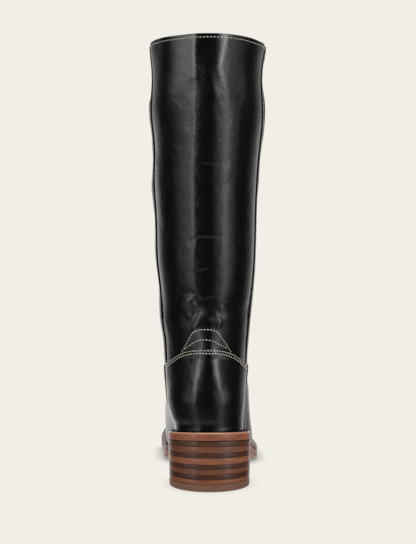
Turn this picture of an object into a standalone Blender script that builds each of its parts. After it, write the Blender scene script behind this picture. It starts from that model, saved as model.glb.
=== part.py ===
"""Wide calf boot for the right foot: a tall pull-on leather shaft on a stacked leather heel.

The boot stands on the floor with its toe towards +Y and its outer side towards +X.
Tables are in millimetres, measured from the back of the heel, the heel's middle line and the floor.
"""

import math
from collections import namedtuple

import bmesh
import bpy
import numpy as np

MM = 0.001

# Driving dimensions, in millimetres
COLLAR_HEIGHT = 411.0
HEEL_HEIGHT = 46.4
HEEL_SEAT_SLOPE = math.tan(math.radians(7.0))
BREAST_STATION = 7
TREAD_START_Y = 170.0
TREAD_END_Y = 190.0
HOLLOW_FROM_Y = 100.0
TOE_SPRING = 16.0
TOE_SPRING_POWER = 1.7
SOLE_BACK_Y = -2.5
SOLE_LENGTH = 260.5
OUTSOLE_THICKNESS = 7.7
WELT_THICKNESS = 4.0
INSOLE_THICKNESS = 3.5
INSOLE_CLEARANCE = 1.2
WALL = 2.4
OVERLAY = 1.4
GAP = 0.3
OVERLAY_GAP = 0.4
SEAT_GAP = 0.4
FEATHER_BACK_Y = 4.2
FEATHER_FRONT_Y = 251.6
FEATHER_WALL = 4.8
TOE_SWING = -5.0
SWING_FROM = 0.55
TOE_POWER = 2.6
HEEL_TAPER = 1.0
POINTS_AROUND = 44
SOLE_STEPS = 36
CLOSEST_STATIONS = 0.6

# Heel lifts from the floor up: the top lift first, then light and dark leather in turn
TOP_LIFT_THICKNESS = 6.4
LIFT_THICKNESS = (4.4, 4.6, 5.1, 4.4, 5.9, 4.6, 5.9, 5.1)

# Half widths of the outsole along its length, on the inner (medial) and outer (lateral) side
SoleRow = namedtuple("SoleRow", "share medial lateral")
SOLE_PLAN = (
    SoleRow(0.17, 38.3, 38.3),
    SoleRow(0.39, 32.5, 35.8),
    SoleRow(0.50, 37.0, 42.8),
    SoleRow(0.62, 47.0, 50.3),
    SoleRow(0.70, 50.0, 51.0),
)
SOLE_HEEL_CAP = 0.16
SOLE_TOE_CAP = {"medial": 0.20, "lateral": 0.36}

# Level sections of the shaft, from the collar down to the ankle
ShaftRow = namedtuple("ShaftRow", "z back_y front_y medial lateral")
SHAFT_SECTIONS = (
    ShaftRow(COLLAR_HEIGHT, -2.0, 152.3, 53.9, 52.3),
    ShaftRow(380.0, -1.7, 150.8, 53.6, 49.2),
    ShaftRow(346.0, -0.9, 148.0, 55.2, 50.5),
    ShaftRow(319.0, 0.2, 144.6, 52.7, 48.4),
    ShaftRow(284.0, 2.0, 139.4, 52.7, 45.2),
    ShaftRow(246.0, 4.6, 133.4, 50.5, 43.6),
    ShaftRow(208.0, 7.6, 128.4, 49.3, 42.4),
    ShaftRow(178.0, 10.2, 127.6, 46.2, 40.0),
)

# Leaning sections of the foot, each from a point of the back line to a point of the instep line.
# follow is the share of the sole's own curve that the section takes. heel_point is 1 where the heel is
# rounded as an ellipse and more where it narrows to a keener line, as over the heel cord.
FootRow = namedtuple(
    "FootRow",
    "back_y back_z front_y front_z follow "
    "heel_in waist_in ball_in heel_out waist_out ball_out heel_cap toe_cap heel_point",
)
FOOT_SECTIONS = (
    FootRow(11.5, 146.0, 131.0, 157.0, 0.00, 44.9, 44.9, 44.9, 37.4, 37.4, 37.4, 0.48, 0.50, 1.22),
    FootRow(10.5, 131.0, 140.0, 139.5, 0.05, 42.6, 42.4, 41.5, 36.2, 36.0, 36.0, 0.45, 0.53, 1.34),
    FootRow(7.8, 117.5, 155.0, 120.0, 0.15, 40.6, 41.2, 38.5, 35.0, 34.6, 35.0, 0.39, 0.56, 1.25),
    FootRow(4.8, 105.0, 177.0, 99.5, 0.30, 39.2, 40.6, 39.0, 33.6, 34.0, 36.5, 0.31, 0.545, 1.12),
    FootRow(2.6, 94.5, 200.0, 81.5, 0.50, 38.6, 40.0, 42.6, 32.8, 32.2, 39.2, 0.26, 0.475, 1.00),
    FootRow(1.6, 85.0, 222.0, 68.0, 0.70, 38.3, 38.6, 44.4, 32.3, 31.6, 40.0, 0.222, 0.40, 0.93),
    FootRow(1.7, 77.0, 238.5, 57.5, 0.83, 37.4, 36.6, 44.4, 31.6, 31.2, 41.0, 0.197, 0.335, 0.95),
    FootRow(2.3, 70.0, 248.0, 47.5, 0.92, 35.6, 33.4, 43.9, 30.9, 31.0, 42.4, 0.18, 0.29, 1.00),
    FootRow(3.2, 64.0, 251.8, 37.0, 0.97, 33.2, 29.8, 43.4, 30.1, 30.6, 43.4, 0.168, 0.25, 1.00),
)
FEATHER_WIDTHS = {
    "heel_in": 30.8, "waist_in": 26.0, "ball_in": 43.0,
    "heel_out": 29.8, "waist_out": 30.0, "ball_out": 43.0,
    "heel_cap": 0.16, "toe_cap": 0.215, "heel_point": 1.0,
}
WIDTH_PLACES = {"in": (0.15, 0.42, 0.70), "out": (0.15, 0.40, 0.61)}
OUTER_TOE_EXTRA = 0.15
MIDDLE_RINGS_FROM = len(SHAFT_SECTIONS) - 1
MIDDLE_RINGS_TO = MIDDLE_RINGS_FROM + 6

# Seams of the panels
SeamPoint = namedtuple("SeamPoint", "y z")
SIDE_SEAM = (SeamPoint(66.0, 420.0), SeamPoint(61.0, 250.0), SeamPoint(60.0, 150.0), SeamPoint(57.0, 109.6))
VAMP_EDGE = (
    SeamPoint(57.0, 109.6),
    SeamPoint(75.0, 104.0),
    SeamPoint(95.0, 106.0),
    SeamPoint(112.0, 118.0),
    SeamPoint(124.0, 136.0),
    SeamPoint(131.0, 154.0),
    SeamPoint(136.0, 170.0),
)
COUNTER_FRONT_Y = 57.0
BackPoint = namedtuple("BackPoint", "x z")
COUNTER_TOP = (
    BackPoint(-60.0, 93.0),
    BackPoint(-42.0, 109.0),
    BackPoint(-26.0, 122.8),
    BackPoint(-17.5, 127.0),
    BackPoint(-1.4, 128.8),
    BackPoint(15.0, 126.2),
    BackPoint(27.3, 116.8),
    BackPoint(36.0, 107.0),
    BackPoint(60.0, 82.0),
)
HEEL_TAB_EDGE = (
    BackPoint(-27.5, 118.0),
    BackPoint(-21.5, 134.0),
    BackPoint(-15.5, 144.3),
    BackPoint(-8.6, 147.0),
    BackPoint(-1.4, 147.5),
    BackPoint(6.0, 146.0),
    BackPoint(12.2, 140.5),
    BackPoint(17.8, 127.5),
    BackPoint(28.0, 112.0),
)
CUTTER_REACH = 120.0
CURVE_STEPS = 4


def smooth(places, values, at):
    """Value at a place on a smooth curve through the table that never overshoots its rows."""
    places = np.asarray(places, float)
    values = np.asarray(values, float)
    step = np.diff(places)
    rise = np.diff(values) / step
    slope = np.zeros(len(places))
    slope[0] = rise[0]
    slope[-1] = rise[-1]
    for i in range(1, len(places) - 1):
        if rise[i - 1] * rise[i] > 0:
            slope[i] = 2 * rise[i - 1] * rise[i] / (rise[i - 1] + rise[i])
    at = float(np.clip(at, places[0], places[-1]))
    i = int(np.clip(np.searchsorted(places, at) - 1, 0, len(step) - 1))
    s = (at - places[i]) / step[i]
    start = values[i] * (1 + 2 * s) * (1 - s) ** 2 + slope[i] * step[i] * s * (1 - s) ** 2
    end = values[i + 1] * s * s * (3 - 2 * s) - slope[i + 1] * step[i] * s * s * (1 - s)
    return start + end


def end_caps(share, heel_cap, toe_cap, toe_power=2.0, heel_point=1.0):
    """Share of the full width near a section's ends: a rounded or keener heel and a fuller toe."""
    if share < heel_cap:
        return max(0.0, 1 - (1 - share / heel_cap) ** 2) ** (heel_point / 2)
    if share > 1 - toe_cap:
        return max(0.0, 1 - ((share - 1 + toe_cap) / toe_cap) ** toe_power) ** (1 / toe_power)
    return 1.0


def swing(share):
    """Sideways lean of the middle line towards the big toe."""
    s = max(0.0, (share - SWING_FROM) / (1 - SWING_FROM))
    return TOE_SWING * s * s


def ring_shares():
    """Shares of a section's length at the points around it, from the back round the outer side."""
    turns = [2 * math.pi * i / POINTS_AROUND for i in range(POINTS_AROUND)]
    return [((1 - math.cos(turn)) / 2, math.sin(turn)) for turn in turns]


FEATHER_STATIONS = sorted({round(FEATHER_BACK_Y + (FEATHER_FRONT_Y - FEATHER_BACK_Y) * share, 6)
                           for share, side in ring_shares()})
BREAST_Y = FEATHER_STATIONS[BREAST_STATION]
SOLE_ENDS = (SOLE_BACK_Y, SOLE_BACK_Y + SOLE_LENGTH)
SOLE_STATIONS = [SOLE_BACK_Y + SOLE_LENGTH * (1 - math.cos(math.pi * i / SOLE_STEPS)) / 2
                 for i in range(SOLE_STEPS + 1)]


def with_stations(stations, extra):
    """Stations along the boot with more added wherever they aren't too close to one."""
    joined = list(stations)
    for y in extra:
        if min(abs(y - other) for other in joined) > CLOSEST_STATIONS:
            joined.append(y)
    return sorted(joined)


SOLE_BREAKS = with_stations([SOLE_ENDS[0], *FEATHER_STATIONS, SOLE_ENDS[1]],
                            [y for y in SOLE_STATIONS if y > HOLLOW_FROM_Y])


def sole_bottom_curve(y):
    """Height of the outsole's underside: heel seat, shank, flat tread and toe spring."""
    if y <= BREAST_Y:
        return HEEL_HEIGHT - HEEL_SEAT_SLOPE * (y - SOLE_BACK_Y)
    if y < TREAD_START_Y:
        run = TREAD_START_Y - BREAST_Y
        top = HEEL_HEIGHT - HEEL_SEAT_SLOPE * (BREAST_Y - SOLE_BACK_Y)
        s = (y - BREAST_Y) / run
        return top * (1 + 2 * s) * (1 - s) ** 2 - HEEL_SEAT_SLOPE * run * s * (1 - s) ** 2
    if y <= TREAD_END_Y:
        return 0.0
    return TOE_SPRING * ((y - TREAD_END_Y) / (SOLE_ENDS[1] - TREAD_END_Y)) ** TOE_SPRING_POWER


SOLE_HEIGHTS = [sole_bottom_curve(y) for y in SOLE_BREAKS]


def sole_bottom(y):
    """Underside of the outsole in flats: the upper's own stations where it bulges, finer ones in hollows."""
    return float(np.interp(y, SOLE_BREAKS, SOLE_HEIGHTS))


def sole_top(y):
    return sole_bottom(y) + OUTSOLE_THICKNESS


def sole_edge(y, side):
    """Sideways place of the outsole's edge at a distance from the heel's back."""
    share = (y - SOLE_BACK_Y) / SOLE_LENGTH
    width = smooth([row.share for row in SOLE_PLAN], [getattr(row, side) for row in SOLE_PLAN], share)
    width *= end_caps(share, SOLE_HEEL_CAP, SOLE_TOE_CAP[side], TOE_POWER)
    return swing(share) + (width if side == "lateral" else -width)


def all_sections():
    """The shaft's level rows, the foot's leaning rows and the two rows of the feather edge as one table."""
    rows = []
    for row in SHAFT_SECTIONS:
        rows.append(FootRow(row.back_y, row.z, row.front_y, row.z, 0.0, row.medial, row.medial, row.medial,
                            row.lateral, row.lateral, row.lateral, 0.5, 0.5, 1.0))
    rows.extend(FOOT_SECTIONS)
    for rise in (SEAT_GAP + FEATHER_WALL, SEAT_GAP):
        rows.append(FootRow(FEATHER_BACK_Y, sole_top(FEATHER_BACK_Y) + rise,
                            FEATHER_FRONT_Y, sole_top(FEATHER_FRONT_Y) + rise, 1.0, **FEATHER_WIDTHS))
    return rows


SECTIONS = all_sections()


def section_at(place):
    """A section at a fractional row number of the table."""
    rows = range(len(SECTIONS))
    return FootRow(*(smooth(rows, [row[i] for row in SECTIONS], place) for i in range(len(FootRow._fields))))


def section_point(row, share, turn):
    """A point of a section at a share of the way to its front, on the outer side where turn isn't under 0."""
    y = row.back_y + (row.front_y - row.back_y) * share
    ends = (FEATHER_BACK_Y, FEATHER_FRONT_Y)
    straight = np.interp(y, ends, [sole_top(end) for end in ends])
    z = row.back_z + (row.front_z - row.back_z) * share + row.follow * (sole_top(y) - straight)
    toe_power = 2 + (TOE_POWER - 2) * row.follow
    if turn >= 0:
        width = smooth(WIDTH_PLACES["out"], (row.heel_out, row.waist_out, row.ball_out), share)
        toe_cap = row.toe_cap + OUTER_TOE_EXTRA * row.follow
        width *= end_caps(share, row.heel_cap, toe_cap, toe_power, row.heel_point)
        return swing(share) * row.follow + width, y, z
    width = smooth(WIDTH_PLACES["in"], (row.heel_in, row.waist_in, row.ball_in), share)
    width *= end_caps(share, row.heel_cap, row.toe_cap, toe_power, row.heel_point)
    return swing(share) * row.follow - width, y, z


def ring_places(first, last):
    """Row numbers of the rings between two rows, with a middle ring added at the ankle and instep."""
    places = []
    for row in range(first, last + 1):
        places.append(float(row))
        if MIDDLE_RINGS_FROM <= row < MIDDLE_RINGS_TO and row < last:
            places.append(row + 0.5)
    return places


def upper_rings(clearance, first=0, last=len(SECTIONS) - 1):
    """Rings of the upper's outside moved out by a clearance, from a level collar down to the outsole."""
    shares = ring_shares()
    places = ring_places(0, len(SECTIONS) - 1)
    points = np.array([[section_point(section_at(place), *share) for share in shares] for place in places])
    around = np.roll(points, -1, axis=1) - np.roll(points, 1, axis=1)
    down = np.gradient(points, axis=0)
    normal = np.cross(down, around)
    normal /= np.linalg.norm(normal, axis=2, keepdims=True)
    moved = points + normal * clearance
    moved[0][:, 2] = COLLAR_HEIGHT
    for point in moved[-1]:
        point[2] = sole_top(point[1]) + SEAT_GAP
    kept = [i for i, place in enumerate(places) if first <= place <= last]
    return moved[kept]


def new_collection(name):
    collection = bpy.data.collections.new(name)
    bpy.context.scene.collection.children.link(collection)
    return collection


def leather(name, color, roughness):
    """A plain material of one colour."""
    material = bpy.data.materials.new(name)
    material.use_nodes = True
    shader = material.node_tree.nodes["Principled BSDF"]
    shader.inputs["Base Color"].default_value = (*color, 1.0)
    shader.inputs["Roughness"].default_value = roughness
    shader.inputs["Metallic"].default_value = 0.0
    return material


def add_object(name, mesh_data, collection, material=None):
    """An object from a bmesh, under the boot's empty, shaded smooth with sharp edges kept."""
    mesh = bpy.data.meshes.new(name)
    mesh_data.to_mesh(mesh)
    mesh_data.free()
    mesh.shade_smooth()
    mesh.set_sharp_from_angle(angle=math.radians(40))
    thing = bpy.data.objects.new(name, mesh)
    collection.objects.link(thing)
    thing.parent = boot
    if material:
        mesh.materials.append(material)
    return thing


def loft(rings):
    """A bmesh of quads between closed rings of points, in millimetres, and its rows of vertices."""
    shape = bmesh.new()
    rows = [[shape.verts.new([value * MM for value in point]) for point in ring] for ring in rings]
    for upper_row, lower_row in zip(rows, rows[1:]):
        join_rings(shape, upper_row, lower_row)
    return shape, rows


def join_rings(shape, upper_row, lower_row, facing_in=False):
    """Quads between two rings of vertices. Both faces of a wall are split along the same diagonals."""
    for i in range(len(upper_row)):
        j = (i + 1) % len(upper_row)
        corners = [upper_row[i], lower_row[i], lower_row[j], upper_row[j]]
        shape.faces.new([corners[k] for k in (0, 3, 2, 1)] if facing_in else corners)


def wall(name, inside, outside, material, first=0, last=len(SECTIONS) - 1):
    """A closed wall between two clearances from the upper's outside, with a rim at its top and bottom."""
    shape, outer = loft(upper_rings(outside, first, last))
    inner = [[shape.verts.new(point * MM) for point in ring] for ring in upper_rings(inside, first, last)]
    for upper_row, lower_row in zip(inner, inner[1:]):
        join_rings(shape, upper_row, lower_row, facing_in=True)
    join_rings(shape, inner[0], outer[0])
    join_rings(shape, outer[-1], inner[-1])
    return add_object(name, shape, parts, material)


def cutter(name, outline, axis):
    """A closed block from an outline: along X from a side outline, along Y from a back outline."""
    shape = bmesh.new()
    reach = CUTTER_REACH * MM
    if axis == "X":
        corners = [shape.verts.new((-reach, a * MM, b * MM)) for a, b in outline]
        along = (2 * reach, 0.0, 0.0)
    else:
        corners = [shape.verts.new((a * MM, -reach, b * MM)) for a, b in outline]
        along = (0.0, reach + COUNTER_FRONT_Y * MM - GAP * MM, 0.0)
    face = shape.faces.new(corners)
    block = bmesh.ops.extrude_face_region(shape, geom=[face])
    moved = [item for item in block["geom"] if isinstance(item, bmesh.types.BMVert)]
    bmesh.ops.translate(shape, verts=moved, vec=along)
    bmesh.ops.recalc_face_normals(shape, faces=shape.faces)
    thing = add_object(name, shape, cutters)
    thing.hide_render = True
    thing.display_type = "WIRE"
    return thing


def keep_inside(shell, block):
    """Trim a wall to the part inside a cutter."""
    trim = shell.modifiers.new("trim", "BOOLEAN")
    trim.operation = "INTERSECT"
    trim.solver = "EXACT"
    trim.object = block


def smooth_outline(points):
    """A table of seam points as a finer smooth run."""
    count = (len(points) - 1) * CURVE_STEPS
    places = [i / CURVE_STEPS for i in range(count + 1)]
    rows = range(len(points))
    first, second = zip(*points)
    return [(smooth(rows, first, place), smooth(rows, second, place)) for place in places]


def slab(name, lower, upper, material):
    """A closed layer between two rings of points that start at the back and run round the outer side.

    Points i and count - i lie across from each other, so the flat faces are strips across the layer.
    """
    shape, rows = loft((upper, lower))
    count = len(lower)
    for row, facing_up in ((rows[0], True), (rows[1], False)):
        for i in range((count - 1) // 2):
            corners = [row[i], row[i + 1], row[count - 1 - i], row[(count - i) % count]]
            corners = list(dict.fromkeys(corners))
            shape.faces.new(corners if facing_up else corners[::-1])
        if count % 2 == 0:
            corners = [row[count // 2 - 1], row[count // 2], row[count // 2 + 1]]
            shape.faces.new(corners if facing_up else corners[::-1])
    bmesh.ops.recalc_face_normals(shape, faces=shape.faces)
    return add_object(name, shape, parts, material)


def stations_between(first_y, last_y, own):
    """Stations of a layer: its two ends, the sole's breaks between them, and its own that round the ends."""
    breaks = [y for y in SOLE_BREAKS if first_y < y < last_y]
    return with_stations([first_y, *breaks, last_y], [y for y in own if first_y < y < last_y])


def edge_ring(stations, edge, height, blunt_front=False):
    """Ring of a layer's edge, from the back round the outer side, at a height that is a function of y."""
    outer = [(edge(y, "lateral"), y, height(y)) for y in stations]
    inner = [(edge(y, "medial"), y, height(y)) for y in stations]
    return outer + (inner[:0:-1] if blunt_front else inner[-2:0:-1])


def build_upper(material):
    wall("upper", -WALL, 0.0, material)


def build_overlays(materials):
    """Front shaft panel, vamp, counter and heel tab: cut from a wall just outside the upper."""
    seam = smooth_outline(SIDE_SEAM)
    vamp_edge = smooth_outline(VAMP_EDGE)
    counter_top = smooth_outline(COUNTER_TOP)
    tab_edge = smooth_outline(HEEL_TAB_EDGE)
    front_y = SOLE_ENDS[1] + WALL + OVERLAY
    collar = COLLAR_HEIGHT - GAP

    shaft_side = [(y, z) for y, z in seam if z < collar]
    above_vamp = [(y, z + GAP) for y, z in vamp_edge[1:]]
    shaft_outline = [(seam[0][0], collar), *shaft_side, *above_vamp]
    shaft_outline += [(front_y, above_vamp[-1][1]), (front_y, collar)]
    ankle_row = len(SHAFT_SECTIONS) - 1
    heel_row = ankle_row + 5
    shaft_front = wall("shaft_front", OVERLAY_GAP, OVERLAY_GAP + OVERLAY, materials["panel"], 0, heel_row)
    keep_inside(shaft_front, cutter("shaft_front_outline", shaft_outline, "X"))

    vamp_outline = vamp_edge + [(front_y, vamp_edge[-1][1]), (front_y, -OVERLAY), (COUNTER_FRONT_Y, -OVERLAY)]
    vamp = wall("vamp", OVERLAY_GAP, OVERLAY_GAP + OVERLAY, materials["vamp"], ankle_row)
    keep_inside(vamp, cutter("vamp_outline", vamp_outline, "X"))

    reach = COUNTER_TOP[-1].x
    counter_outline = counter_top + [(reach, 0.0), (-reach, 0.0)]
    counter = wall("counter", OVERLAY_GAP, OVERLAY_GAP + OVERLAY, materials["counter"], ankle_row)
    keep_inside(counter, cutter("counter_outline", counter_outline, "Y"))

    counter_x, counter_z = zip(*counter_top)
    hill = [(x, z, np.interp(x, counter_x, counter_z) + GAP) for x, z in tab_edge]
    hill = [(x, z, base) for x, z, base in hill if z > base + OVERLAY]
    tab_outline = [(x, z) for x, z, base in hill] + [(x, base) for x, z, base in reversed(hill)]
    heel_tab = wall("heel_tab", OVERLAY_GAP, OVERLAY_GAP + OVERLAY, materials["heel_tab"], ankle_row - 1, heel_row)
    keep_inside(heel_tab, cutter("heel_tab_outline", tab_outline, "Y"))


def build_insole(material):
    """A board on the outsole that fills the upper's open underside, just inside its wall."""
    inset = WALL + INSOLE_CLEARANCE
    widths = {name: value - inset for name, value in FEATHER_WIDTHS.items() if value > inset}
    row = SECTIONS[-1]._replace(back_y=FEATHER_BACK_Y + inset, front_y=FEATHER_FRONT_Y - inset, **widths)
    own = [row.back_y + (row.front_y - row.back_y) * share for share, turn in ring_shares() if turn >= 0]
    stations = stations_between(row.back_y, row.front_y, own)

    def edge(y, side):
        share = (y - row.back_y) / (row.front_y - row.back_y)
        return section_point(row, share, 1 if side == "lateral" else -1)[0]

    def height(y, rise):
        return sole_top(y) + SEAT_GAP + rise

    lower = edge_ring(stations, edge, lambda y: height(y, 0.0))
    upper = edge_ring(stations, edge, lambda y: height(y, INSOLE_THICKNESS))
    slab("insole", lower, upper, material)


def build_welt(material):
    """A strip on the outsole around the forefoot, from breast to breast, its inner edge along the vamp."""
    inner = upper_rings(OVERLAY + 2 * OVERLAY_GAP)[-1]
    stations = []
    for (share, turn), (x, y, z) in zip(ring_shares(), inner):
        if y < BREAST_Y:
            continue
        toe_reach = SOLE_ENDS[1] - inner[POINTS_AROUND // 2][1]
        outer_y = y + toe_reach * max(0.0, (share - SWING_FROM) / (1 - SWING_FROM))
        outer_x = sole_edge(outer_y, "lateral" if turn >= 0 else "medial")
        low_in, low_out = sole_top(y) + GAP, sole_top(outer_y) + GAP
        stations.append(((x, y, low_in), (x, y, low_in + WELT_THICKNESS),
                         (outer_x, outer_y, low_out + WELT_THICKNESS), (outer_x, outer_y, low_out)))
    shape, rows = loft(stations)
    shape.faces.new(rows[0])
    shape.faces.new(rows[-1][::-1])
    bmesh.ops.recalc_face_normals(shape, faces=shape.faces)
    add_object("welt", shape, parts, material)


def build_outsole(material):
    stations = stations_between(*SOLE_ENDS, SOLE_STATIONS)
    lower = edge_ring(stations, sole_edge, sole_bottom)
    upper = edge_ring(stations, sole_edge, sole_top)
    slab("outsole", lower, upper, material)


def build_heel(light, dark, top_lift):
    """Top lift on the floor, then the lifts, whose joints lean more and more up to the heel seat's slope."""
    stations = stations_between(SOLE_BACK_Y, BREAST_Y, SOLE_STATIONS)
    middle_y = BREAST_Y / 2
    lean = HEEL_SEAT_SLOPE / sum(LIFT_THICKNESS)

    def outline(rise):
        """Edge of a joint of the stack, rise above the top lift: narrower and further forward lower down."""
        low = 1 - (TOP_LIFT_THICKNESS + rise) / HEEL_HEIGHT
        narrow = 1 - low * HEEL_TAPER / SOLE_PLAN[0].lateral
        ring = []
        for x, y, z in edge_ring(stations, sole_edge, sole_bottom, blunt_front=True):
            back_share = max(0.0, (middle_y - y) / (middle_y - SOLE_BACK_Y))
            moved_y = y - SOLE_BACK_Y * low * back_share
            lean_down = lean * max(0.0, rise) * (moved_y - SOLE_BACK_Y)
            ring.append((x * narrow, moved_y, TOP_LIFT_THICKNESS + rise - lean_down))
        return ring

    slab("top_lift", outline(-TOP_LIFT_THICKNESS), outline(0.0), top_lift)
    rise = 0.0
    for number, thickness in enumerate(LIFT_THICKNESS, start=1):
        lower = outline(rise + GAP)
        rise += thickness
        upper = outline(rise - GAP if number == len(LIFT_THICKNESS) else rise)
        slab(f"heel_lift_{number}", lower, upper, light if number % 2 else dark)


def stand_on_origin():
    """Move the empty so that the boot's box stands on the origin by the middle of its underside."""
    bpy.context.view_layer.update()
    graph = bpy.context.evaluated_depsgraph_get()
    corners = []
    for thing in parts.objects:
        if thing.type == "MESH":
            shape = thing.evaluated_get(graph).to_mesh()
            corners.extend(tuple(vertex.co) for vertex in shape.vertices)
    corners = np.array(corners)
    low, high = corners.min(axis=0), corners.max(axis=0)
    boot.location = (-(low[0] + high[0]) / 2, -(low[1] + high[1]) / 2, -low[2])


for old in list(bpy.data.objects):
    bpy.data.objects.remove(old, do_unlink=True)
parts = new_collection("wide_calf_boot")
cutters = new_collection("cutters")
boot = bpy.data.objects.new("boot", None)
parts.objects.link(boot)

black = (0.011, 0.011, 0.012)
overlay_names = ("panel", "vamp", "counter", "heel_tab")
panel_materials = {name: leather(f"{name}_leather", black, 0.28) for name in overlay_names}
build_upper(leather("upper_leather", black, 0.3))
build_overlays(panel_materials)
build_insole(leather("insole_leather", (0.36, 0.22, 0.12), 0.7))
build_welt(leather("welt_leather", (0.10, 0.045, 0.025), 0.5))
build_outsole(leather("outsole_leather", (0.22, 0.09, 0.055), 0.45))
light_lift = leather("light_lift_leather", (0.23, 0.09, 0.06), 0.4)
dark_lift = leather("dark_lift_leather", (0.09, 0.055, 0.04), 0.45)
build_heel(light_lift, dark_lift, leather("top_lift_rubber", (0.12, 0.075, 0.055), 0.6))
stand_on_origin()
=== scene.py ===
import math

import bmesh
import bpy
import numpy as np
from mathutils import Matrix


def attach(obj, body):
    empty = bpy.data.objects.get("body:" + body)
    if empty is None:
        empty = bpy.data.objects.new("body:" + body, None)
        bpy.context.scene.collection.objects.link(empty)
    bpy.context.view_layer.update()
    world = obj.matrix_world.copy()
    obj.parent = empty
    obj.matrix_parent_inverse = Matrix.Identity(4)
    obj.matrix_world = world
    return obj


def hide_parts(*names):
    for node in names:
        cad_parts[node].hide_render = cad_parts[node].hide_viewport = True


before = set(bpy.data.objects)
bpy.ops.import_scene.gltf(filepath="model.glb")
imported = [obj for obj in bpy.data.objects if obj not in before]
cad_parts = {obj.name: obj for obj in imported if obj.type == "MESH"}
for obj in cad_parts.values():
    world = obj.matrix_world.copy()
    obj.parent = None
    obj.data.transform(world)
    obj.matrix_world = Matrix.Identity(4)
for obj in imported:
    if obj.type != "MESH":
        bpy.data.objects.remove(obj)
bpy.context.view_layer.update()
bpy.ops.object.select_all(action="DESELECT")

# Last: the block that a boot's upper is drawn over. Every panel lies on one smooth surface through the points
# of the upper's solid. A place on it has a turn, in radians from the back round the outer side, and a drop in
# mm down from the collar.
MM = 0.001
BACK_Y = -127.75
MIDDLE_X = 1.485
RIM_OUTSIDE = 0.975


def walk_round(ring):
    """The points of a ring in order, from the back round the outer side."""
    walked = [min(ring, key=lambda point: point.co.y)]
    while len(walked) < len(ring):
        beside = [edge.other_vert(walked[-1]) for edge in walked[-1].link_edges]
        beside = [point for point in beside if point in ring and point not in walked]
        walked.append(max(beside, key=lambda point: point.co.x) if len(walked) == 1 else beside[0])
    return [point.co[:] for point in walked]


def outer_rings(node):
    """Rings of points down the outside of a hollow solid that is open at its collar, in mm."""
    shape = bmesh.new()
    shape.from_mesh(node.data)
    bmesh.ops.remove_doubles(shape, verts=shape.verts, dist=0.01 * MM)
    top = max(point.co.z for point in shape.verts)
    rim = [point for point in shape.verts if point.co.z > top - 0.1 * MM]
    places = np.array([point.co[:2] for point in rim])
    low, high = places.min(axis=0), places.max(axis=0)
    across = np.where(places[:, 0] > 0, places[:, 0] / high[0], places[:, 0] / low[0])
    along = (places[:, 1] - (low[1] + high[1]) / 2) / ((high[1] - low[1]) / 2)
    ring = {point for point, reach in zip(rim, np.hypot(across, along)) if reach > RIM_OUTSIDE}
    seen = set(rim)
    rings = []
    while ring:
        rings.append(walk_round(ring))
        ring = {edge.other_vert(point) for point in ring for edge in point.link_edges} - seen
        seen |= ring
    shape.free()
    return np.array(rings[: (len(rings) + 1) // 2]) / MM


def spline(knots, values, at, closed=False):
    """A cubic curve without kinks through values at knots. A closed one has one more knot, its full turn."""
    values = np.asarray(values, float)
    count = len(values)
    step = np.diff(knots)
    bend = np.eye(count)
    pull = np.zeros_like(values)
    for i in range(count) if closed else range(1, count - 1):
        before, after = (i - 1) % count, (i + 1) % count
        bend[i, before] += step[before]
        bend[i, i] = 2 * (step[before] + step[i])
        bend[i, after] += step[i]
        pull[i] = 6 * ((values[after] - values[i]) / step[i] - (values[i] - values[before]) / step[before])
    curve = np.linalg.solve(bend, pull)
    if closed:
        values, curve = np.concatenate([values, values[:1]]), np.concatenate([curve, curve[:1]])
        at = np.mod(at, knots[-1])
    i = np.clip(np.searchsorted(knots, at) - 1, 0, len(knots) - 2)
    h, left, right = step[i], np.asarray(knots)[i + 1] - at, at - np.asarray(knots)[i]
    shape = (-1,) + (1,) * (values.ndim - 1)
    h, left, right = h.reshape(shape), left.reshape(shape), right.reshape(shape)
    return (curve[i] * left**3 + curve[i + 1] * right**3) / (6 * h) + (
        values[i] / h - curve[i] * h / 6) * left + (values[i + 1] / h - curve[i + 1] * h / 6) * right


rings = outer_rings(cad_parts["upper"])
ring_gaps = np.linalg.norm(np.diff(rings, axis=0), axis=2).mean(axis=1)
ring_drops = np.concatenate([[0], np.cumsum(ring_gaps)])
point_turns = np.linspace(0, math.tau, rings.shape[1] + 1)
FOOT_DROP = ring_drops[-1]

# How far the collar rises at the sides, in mm, how deep that reaches, and the turns where it starts and ends
INNER_RISE, OUTER_RISE, RISE_DEPTH = 3.0, 1.2, 70.0
INNER_CLIMB, OUTER_CLIMB, SIDE_END = (0.4, 1.4), (1.0, 1.5), (1.8, 2.8)


def soft_step(low, high, at):
    """0 below low, 1 above high, smooth between."""
    s = np.clip((np.asarray(at) - low) / (high - low), 0, 1)
    return s * s * (3 - 2 * s)


def from_back(turn):
    """The same turns counted both ways from the back: above 0 on the outer side, below 0 on the inner."""
    return np.mod(turn + math.pi, math.tau) - math.pi


def collar_rise(turn, drop):
    """The collar stands a little higher at the sides than at the back, more so on the inner side, in mm."""
    turn = from_back(turn)
    inner = INNER_RISE * soft_step(*INNER_CLIMB, -turn) * (1 - soft_step(*SIDE_END, -turn))
    outer = OUTER_RISE * soft_step(*OUTER_CLIMB, turn) * (1 - soft_step(*SIDE_END, turn))
    return (inner + outer) * (1 - soft_step(0, RISE_DEPTH, drop))


def last(turn, drop):
    """Points of the last, in mm, at turns and drops."""
    turn, drop = np.broadcast_arrays(np.asarray(turn, float), np.asarray(drop, float))
    down = spline(ring_drops, np.eye(len(ring_drops)), np.clip(drop.ravel(), 0, FOOT_DROP))
    around = spline(point_turns, np.eye(rings.shape[1]), turn.ravel(), closed=True)
    columns = (down @ rings.reshape(len(rings), -1)).reshape(-1, rings.shape[1], 3)
    points = np.einsum("nj,njk->nk", around, columns).reshape(*turn.shape, 3)
    points[..., 2] += collar_rise(turn, drop)
    return points


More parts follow.
